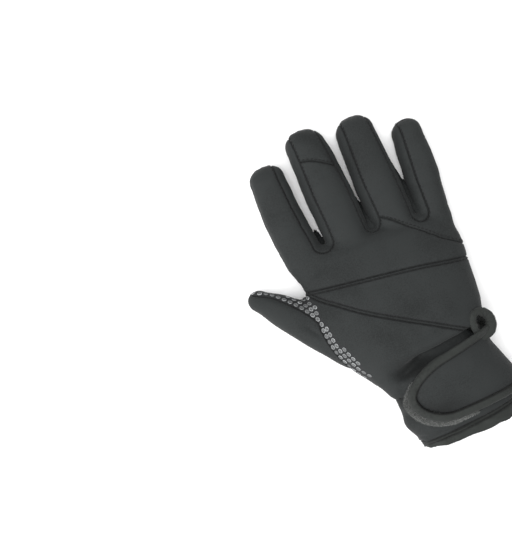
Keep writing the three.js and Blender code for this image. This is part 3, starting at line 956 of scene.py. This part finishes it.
def join_copies(name, shape, shape_faces, places, alongs, normals, sizes):
    """One mesh of many copies of a small shape, each set on its place with its x along and z on the normal.
    Nothing reaches below the floor."""
    alongs = unit(alongs - normals * (alongs * normals).sum(axis=1, keepdims=True))
    scaled = shape[None] * sizes[:, None, :]
    copies = places[:, None]
    for axis, ways in enumerate((alongs, np.cross(normals, alongs), normals)):
        copies = copies + scaled[..., axis : axis + 1] * ways[:, None]
    copies[..., 2] = np.maximum(copies[..., 2], 0)
    count = len(places)
    shifts = (np.arange(count) * len(shape))[:, None, None]
    return new_object(name, copies.reshape(-1, 3), (shape_faces[None] + shifts).reshape(-1, 3))


def ring_faces(first, rings, sides):
    """Faces between rings of points, each ring after the other from a first point on."""
    made = []
    for r in range(rings - 1):
        for k in range(sides):
            a, b = (first + r * sides + n for n in (k, (k + 1) % sides))
            made += [(a, b, b + sides), (a, b + sides, a + sides)]
    return made


def cap_faces(tip, first, sides, way=1):
    """Faces from a tip to the ring that begins at a first point."""
    return [(tip, *(first + k, first + (k + 1) % sides)[::way]) for k in range(sides)]


def spindle(sides=6, rings=4):
    """A capsule of unit half length and radius along x."""
    angles = np.linspace(0, 2 * math.pi, sides, endpoint=False)
    made = [(-1, 0, 0)]
    for t in np.linspace(-0.8, 0.8, rings):
        r = (1 - abs(t) ** 3) ** 0.5
        made += [(t, r * math.cos(a), r * math.sin(a)) for a in angles]
    made.append((1, 0, 0))
    sheet = cap_faces(0, 1, sides, -1) + ring_faces(1, rings, sides)
    sheet += cap_faces(len(made) - 1, 1 + (rings - 1) * sides, sides)
    return np.array(made, float), np.array(sheet)


def walk(run, pitch):
    """Places at a pitch along a run in plan, with the way it goes there."""
    steps = np.linalg.norm(np.diff(run, axis=0), axis=1)
    along = np.concatenate([[0], np.cumsum(steps)])
    at = np.arange(pitch / 2, along[-1], pitch)
    here, ahead = (np.stack([np.interp(p, along, run[:, k]) for k in (0, 1)], 1) for p in (at, at + 0.5))
    return here, ahead - here


# Half sizes and pitches of the stitches
STITCH = (1.0, 0.38, 0.38)
STITCH_PITCH = 2.7
STRAP_STITCH = (0.8, 0.2, 0.22)
STRAP_PITCH = 2.2
BESIDE_SEAM = 1.2


def skin_stitches():
    """Stitches on the stitched lines and beside the seams, each only on the panels named for its run."""
    fingers = {"inner_fingers_panel", "outer_fingers_panel", "middle_tip_panel"}
    wrist = np.linspace(-0.3, 0.55, 60)[:, None] * (HAND_WIDTH, 0) + (0, WRIST_Y + 1.6)
    runs = [(run, {name}) for name, run in STITCH_LINES]
    runs[2:2] = [
        (shifted(finger_run, BESIDE_SEAM), {"outer_fingers_panel"}),
        (shifted(tip_run, BESIDE_SEAM), {"middle_tip_panel"}),
        *[(shifted(outline[1:-1], -BESIDE_SEAM), fingers) for outline in (fork_im, fork_mr, fork_rl)],
    ]
    runs += [(HEM_LINE + (0, 2.1), {"hem"}), (wrist, {"wrist_panel"})]
    found = []
    for run, names in runs:
        for (x, y), ahead in zip(*walk(run, STITCH_PITCH)):
            hit = skin_at(x, y, FROM_ABOVE)
            if hit and hit[1][2] > 0.25 and hit[2] in names:
                found.append((hit[0] + hit[1] * 0.02, (*ahead, 0), hit[1]))
    return columns_of(found)


shape, shape_faces = spindle()
places, alongs, normals = skin_stitches()
sizes = np.tile(STITCH, (len(places), 1))
stitches = join_copies("seam_stitches", shape, shape_faces, places, alongs, normals, sizes)
dress(stitches, thread, "softshell")

# Print of the palm: rounded cells on the palm's cloth
CELL_LONG = 4.3
CELL_WIDE = 3.5
CELL_RISE = 0.4
CELL_SIDES = 14

# Rings of a cell, from its foot to its dished top: reach, height and brightness, which paints a highlight on
# the rim and shade in the dished middle
CELL_RINGS = ((1.0, -0.6, 1.0), (0.97, 0.6, 1.0), (0.87, 1.0, 0.8), (0.7, 0.6, 0.0))

# Rows of cells along the thumb's seam: distance from it, and size
EDGE_ROWS = (1.5, 4.1, 6.7, 9.3)
EDGE_SHARE = 0.92


def print_cell():
    """A rounded six-sided cell with a dished top, about one unit in reach, with its rim at z = 1."""
    angles = np.linspace(0, 2 * math.pi, CELL_SIDES, endpoint=False)
    six = 1 / np.maximum(np.abs(np.cos(angles)), np.abs(np.cos(angles - math.pi / 3)))
    six = 0.86 * np.minimum(six, 1 / np.maximum(np.abs(np.cos(angles + math.pi / 3)), 0.5))
    rows = []
    for reach, high, unused in CELL_RINGS:
        rows += [(reach * s * math.cos(a), reach * s * math.sin(a), high) for a, s in zip(angles, six)]
    rows.append((0, 0, 0.45))
    last = len(rows) - 1
    sheet = ring_faces(0, len(CELL_RINGS), CELL_SIDES) + cap_faces(last, last - CELL_SIDES, CELL_SIDES)
    return np.array(rows, float), np.array(sheet)


def palm_cells():
    found = []
    for column, x in enumerate(np.arange(-98, 64, CELL_LONG * 0.92)):
        for y in np.arange(-72, 124, CELL_WIDE * 1.06):
            y += (column % 2) * CELL_WIDE * 0.53
            hit = skin_at(x, y, FROM_BELOW)
            if hit and hit[2] == "palm" and hit[1][2] < -0.35:
                found.append((hit[0], (1, 0, 0), hit[1], 1.0))
    for row, away in enumerate(EDGE_ROWS):
        places, ways = walk(shifted(thumb_run, away), CELL_LONG)
        for (x, y), ahead in zip(places + ways * (row % 2) * CELL_LONG, ways):
            hit = skin_at(x, y, FROM_ABOVE)
            if hit and hit[2] == "palm" and hit[1][2] > 0.08:
                found.append((hit[0], (*ahead, 0), hit[1], EDGE_SHARE))
    return columns_of(found)


shape, shape_faces = print_cell()
places, alongs, normals, share = palm_cells()
sizes = np.stack([share * CELL_LONG * 0.45, share * CELL_WIDE * 0.43, np.full(len(share), CELL_RISE)], 1)
cells = join_copies("palm_print", shape, shape_faces, places - normals * 0.02, alongs, normals, sizes)
# Painted highlight on the cells' rims and painted shade in their dished middles, with a random strength for
# each cell as wear
painted_rim_light = np.append(np.repeat([ring[2] for ring in CELL_RINGS], CELL_SIDES), 0.0)
worn = np.random.default_rng(17).uniform(0.1, 1.5, len(places))
set_painted_shade(cells, (worn[:, None] * painted_rim_light[None]).ravel())
dress(cells, print_grey, "printed_palm")


# Strap: a rolled edge around a recessed panel, over a fuzzy hook tape
STRAP_TIP = BODY_ROWS[3][2] * HAND_WIDTH - STRAP_REACH


def strap_outline(end):
    low, high = HEM_Y + STRAP_LOW, HEM_Y + STRAP_HIGH
    (up_x, up_y), (down_x, down_y) = [(a * STRAP_REACH, b * (high - low)) for a, b in STRAP_ROUND]
    run = np.concatenate([
        arc((STRAP_TIP + up_x, high - up_y), up_x, up_y, 90, 180, 14),
        arc((STRAP_TIP + down_x, low + down_y), down_x, down_y, 180, 270, 14)[1:],
        [(end, low), (end, high)],
    ])
    slope = np.interp(run[:, 1], (low, high), (STRAP_LOW_SLOPE, STRAP_HIGH_SLOPE))
    return run + np.stack([np.zeros(len(run)), slope * run[:, 0]], 1)


strap_origin, (sx, sy, sz) = grid((-29.0, -108.0, 5.0), (66.0, -42.0, 47.0), STRAP_CELL)
above = true_distance(body_field(sx, sy, sz), STRAP_CELL)
plan_x, plan_y = sx[:, :, 0], sy[:, :, 0]


def plan_value(outline, move=0.0):
    value = outline_value(plan_x.ravel() + move, plan_y.ravel() + move, outline)
    return np.broadcast_to(value.reshape(plan_x.shape)[:, :, None], sx.shape)


ROLL_POWER = 2.3
ROLL_WIDTH = 2 * ROLL_HALF
# Under the roll, the panel reaches out by this much, and the hook tape is this much lower
PANEL_UNDER_ROLL = 0.7
HOOK_UNDER_ROLL = 1.2
PANEL_THICK = 1.3
PANEL_DIP = 0.9
HOOK_BASE = 0.25
edge_in = plan_value(strap_outline(FAR))
low_cut = STRAP_LOWEST - sz
roll = np.abs((edge_in - ROLL_HALF) / ROLL_HALF) ** ROLL_POWER
roll = (roll + np.abs((above - ROLL_HIGH) / ROLL_RISE) ** ROLL_POWER) ** (1 / ROLL_POWER)
roll = smooth_max((roll - 1) * ROLL_RISE, low_cut, 1.2)
past = np.maximum(edge_in - ROLL_WIDTH, 0)
dip = PANEL_DIP * np.exp(-(((sx + 5) / 17) ** 2) - ((sy + 85.5) / 8) ** 2)
panel_top = STRAP_BASE + PANEL_THICK + STRAP_PUFF * (1 - np.exp(-past / 5)) - dip
panel = smooth_max(ROLL_WIDTH - PANEL_UNDER_ROLL - edge_in, above - panel_top, 0.6)
panel = smooth_max(smooth_max(panel, STRAP_BASE - above, 0.3), low_cut, 0.8)
hook_in = plan_value(strap_outline(STRAP_TIP + HOOK_LENGTH), HOOK_SHOW)
hook_top = HOOK_HIGH - HOOK_UNDER_ROLL * np.clip(edge_in / 2, 0, 1)
hook_top -= HOOK_THIN * np.clip((sx - STRAP_TIP) / HOOK_LENGTH, 0, 1) ** 3
hook = smooth_max(smooth_max(-hook_in, above - hook_top, 1.0), HOOK_BASE - above, 0.3)


STRAP_ROUNDS = 3


def strap_piece(name, field, grain, depth, material, slot, node):
    points, faces = field_mesh(field, strap_origin, STRAP_CELL, STRAP_ROUNDS)
    normals = vertex_normals(points, faces)
    points = points + normals * (depth * noise(points, grain, 11) + 0.15 * noise(points, 14.0, 12))[:, None]
    made = new_object(name, points, faces)
    dress(made, material, slot, node)
    return made, points, faces, normals


strap_roll, roll_points, roll_faces, unused = strap_piece(
    "strap_edge_cloth", roll, 5.0, 0.10, binding, "binding", "strap_edge")
strap_middle, middle_points, middle_faces, unused = strap_piece(
    "strap_panel_cloth", panel, 9.0, 0.08, softshell, "softshell", "strap_panel")
hook_tape, hook_points, hook_faces, hook_normals = strap_piece(
    "hook_tape_felt", hook, 1.9, 0.22, hook_felt, "hook_felt", "strap_hook_tape")


def in_strap(points):
    return outline_value(points[:, 0], points[:, 1], strap_outline(FAR))


# Painted shade: the roll and the panel are darker where they meet, and the panel also where it is hollow
DARK_FROM = ROLL_WIDTH - 0.2
HOLLOW_PAINTED_SHADE = 0.7
hollow = np.exp(-(((middle_points[:, 0] + 2) / 15) ** 2) - ((middle_points[:, 1] + 87.5) / 7) ** 2)
set_painted_shade(strap_middle, np.clip(in_strap(middle_points) - DARK_FROM, 0, SEAM_SHADE - HOLLOW_PAINTED_SHADE * hollow))
set_painted_shade(strap_roll, np.maximum(DARK_FROM - in_strap(roll_points), 0))

# Stitches in the groove inside the rolled edge
strap_tree = BVHTree.FromPolygons(middle_points.tolist(), middle_faces.tolist())
inner_run = shifted(rounded(strap_outline(70.0)[:-2], 3), ROLL_WIDTH + 0.5)
found = []
for (x, y), ahead in zip(*walk(inner_run, STRAP_PITCH)):
    place, normal, face, unused = strap_tree.ray_cast(Vector((x, y, FROM_ABOVE)), Vector((0, 0, -1)))
    if place and normal.z > 0.2:
        found.append((np.array(place), (*ahead, 0), np.array(normal)))
places, alongs, normals = columns_of(found)
shape, shape_faces = spindle()
sizes = np.tile(STRAP_STITCH, (len(places), 1))
strap_thread = join_copies("strap_stitches", shape, shape_faces, places, alongs, normals, sizes)
dress(strap_thread, thread, "binding")

# Fuzz on the rim of the hook tape: short straight fibres, leaning at random
FIBRES = 3400
FIBRE_RADIUS = 0.06
rng = np.random.default_rng(21)
middles = hook_points[hook_faces].mean(axis=1)
rim_in = in_strap(middles)
weights = np.linalg.norm(face_normals(hook_points, hook_faces), axis=1)
fading = np.clip((STRAP_TIP + 0.95 * HOOK_LENGTH - middles[:, 0]) / 8, 0, 1)
weights = weights * fading * (rim_in < 0.6) * (hook_normals[hook_faces[:, 0], 2] > -0.2)
chosen = rng.choice(len(hook_faces), FIBRES, p=weights / weights.sum())
share = rng.dirichlet((1, 1, 1), FIBRES)
places = (hook_points[hook_faces[chosen]] * share[:, :, None]).sum(axis=1)
lean = unit(hook_normals[hook_faces[chosen, 0]] + 0.9 * rng.normal(size=(FIBRES, 3)))
side = unit(np.cross(lean, rng.normal(size=(FIBRES, 3))))
shape, shape_faces = spindle(4, 3)
length = rng.uniform(0.35, 0.85, FIBRES)
sizes = np.column_stack([length, np.full((FIBRES, 2), FIBRE_RADIUS)])
places = places + lean * length[:, None] * 0.6
fibres = join_copies("hook_tape_fuzz", shape, shape_faces, places, lean, side, sizes)
dress(fibres, fuzz, "hook_felt")

# Loop that the binding makes above the strap: x, y, z and radius along it
LOOP_PATH = [
    (39.0, -56.0, 26.6, 2.2),
    (44.4, -54.7, 26.0, 3.0),
    (48.6, -52.8, 25.6, 3.5),
    (51.0, -48.8, 26.2, 3.6),
    (51.0, -43.8, 27.8, 3.3),
    (48.6, -39.6, 30.2, 3.0),
    (44.8, -37.3, 32.4, 2.6),
    (41.0, -37.6, 34.0, 2.4),
    (38.4, -40.4, 34.6, 2.3),
    (38.0, -44.4, 34.0, 2.3),
    (38.8, -48.6, 31.4, 2.2),
    (40.4, -52.6, 26.8, 1.8),
]


# Middle of the loop in plan, and the folds of its binding round it
LOOP_MIDDLE = (46.4, -44.6)
LOOP_FOLDS = 9
LOOP_FOLD_HIGH = 0.55
LOOP_FLAT = 0.82


def loop_mesh(sides=18):
    run = rounded(np.array(LOOP_PATH), 7)
    ahead = unit(np.gradient(run[:, :3], axis=0))
    across = unit(np.cross(ahead, (0, 0, 1.0)))
    up = np.cross(across, ahead)
    angles = np.linspace(0, 2 * math.pi, sides, endpoint=False)
    round_x, round_y = (np.sign(turn) * np.abs(turn) ** 0.85 for turn in (np.cos(angles), np.sin(angles)))
    radius = run[:, 3][:, None, None]
    tube = run[:, None, :3] + radius * (across[:, None] * round_x[None, :, None]
                                        + LOOP_FLAT * up[:, None] * round_y[None, :, None])
    count = len(run)
    points = np.concatenate([tube.reshape(-1, 3), run[:1, :3], run[-1:, :3]])
    faces = ring_faces(0, count, sides) + cap_faces(count * sides, 0, sides, -1)
    faces = np.array(faces + cap_faces(count * sides + 1, (count - 1) * sides, sides))
    normals = vertex_normals(points, faces)
    out = points[:, :2] - LOOP_MIDDLE
    near = np.exp(-((np.linalg.norm(out, axis=1) - 4) / 3) ** 2)
    folds = LOOP_FOLD_HIGH * np.cos(LOOP_FOLDS * np.arctan2(out[:, 1], out[:, 0])) * near
    return points + normals * (folds + 0.14 * noise(points, 4.0, 31))[:, None], faces


FUNNEL_RINGS = 9
FUNNEL_MIDDLE = (45.2, -45.2)
FUNNEL_STAR = 0.34
FUNNEL_WALL = 0.8


def funnel_mesh():
    """The cloth inside the loop, drawn down into a dark pucker."""
    ring = np.array(LOOP_PATH)[1:-1, :3]
    rim = rounded(np.concatenate([ring, ring[:1]]), 5)
    middle = np.array(FUNNEL_MIDDLE)
    angle = np.arctan2(rim[:, 1] - middle[1], rim[:, 0] - middle[0])
    count = len(rim)
    points = []
    for r in np.linspace(0, 1, FUNNEL_RINGS):
        reach = 1 - 0.93 * r
        star = 1 + FUNNEL_STAR * np.cos(6 * angle) * r * (1 - 0.4 * r)
        plan_at = middle + (rim[:, :2] - middle) * reach * star[:, None]
        high = rim[:, 2] * (1 - r) + 29.0 * r - 0.4 - 9.0 * r**2
        points.append(np.column_stack([plan_at, high]))
    points = np.concatenate(points)
    faces = []
    for r in range(FUNNEL_RINGS - 1):
        for a in range(r * count, r * count + count - 1):
            faces += [(a, a + 1, a + count), (a + 1, a + count + 1, a + count)]
    return points, np.array(faces)


loop_points, loop_faces = loop_mesh()
loop = new_object("wrist_loop_binding", loop_points, loop_faces)
dress(loop, binding, "binding", "wrist_loop")
funnel_points, funnel_faces = funnel_mesh()
funnel_normals = vertex_normals(funnel_points, funnel_faces)
funnel = shell_object(
    "wrist_loop_lining", funnel_points, funnel_normals, funnel_normals, funnel_faces, FUNNEL_WALL)
# Painted shade: the lining gets darker from its rim down to the middle of the hole
depth_share = np.repeat(np.linspace(1, 0, FUNNEL_RINGS), len(funnel_points) // FUNNEL_RINGS)
set_painted_shade(funnel, np.tile(SEAM_SHADE * depth_share, 2))
dress(funnel, binding, "binding")


# Camera, as the photograph's: straight down, beside the glove, and turned
PHOTO_TURN = 22.5
PHOTO_EYE = Vector((-82.6, 38.6, 590.0)) * MM
PHOTO_LENS = 54.55
camera_data = bpy.data.cameras.new("photo_camera")
camera_data.lens = PHOTO_LENS
camera_data.sensor_width = 36
camera = bpy.data.objects.new("photo_camera", camera_data)
camera.location = PHOTO_EYE
camera.rotation_euler = (0, 0, -math.radians(PHOTO_TURN))
bpy.context.collection.objects.link(camera)
bpy.context.scene.camera = camera


# Floor and light
def area_light(name, place, size, power):
    light = bpy.data.lights.new(name, "AREA")
    light.shape = "DISK"
    light.size = size
    light.energy = power
    made = bpy.data.objects.new(name, light)
    made.location = place
    made.rotation_euler = (Vector((0, 0, 0)) - Vector(place)).to_track_quat("-Z", "Y").to_euler()
    bpy.context.collection.objects.link(made)


bpy.ops.mesh.primitive_plane_add(size=6)
floor = bpy.context.object
floor.name = "floor"
floor_material, unused_nodes, unused_links, floor_shader = node_material("floor", (0.86, 0.86, 0.86), 0.9)
floor.data.materials.append(floor_material)
area_light("key", (-0.45, 0.0, 1.2), 1.4, 24.0)
area_light("fill", (0.5, 0.4, 1.0), 0.9, 6.0)
area_light("side", (-0.95, -0.5, 0.5), 1.0, 11.0)
world = bpy.data.worlds.new("studio")
world.use_nodes = True
set_inputs(world.node_tree.nodes["Background"], {"Color": (1, 1, 1, 1), "Strength": 0.4})
bpy.context.scene.world = world
bpy.context.scene.view_settings.view_transform = "Standard"
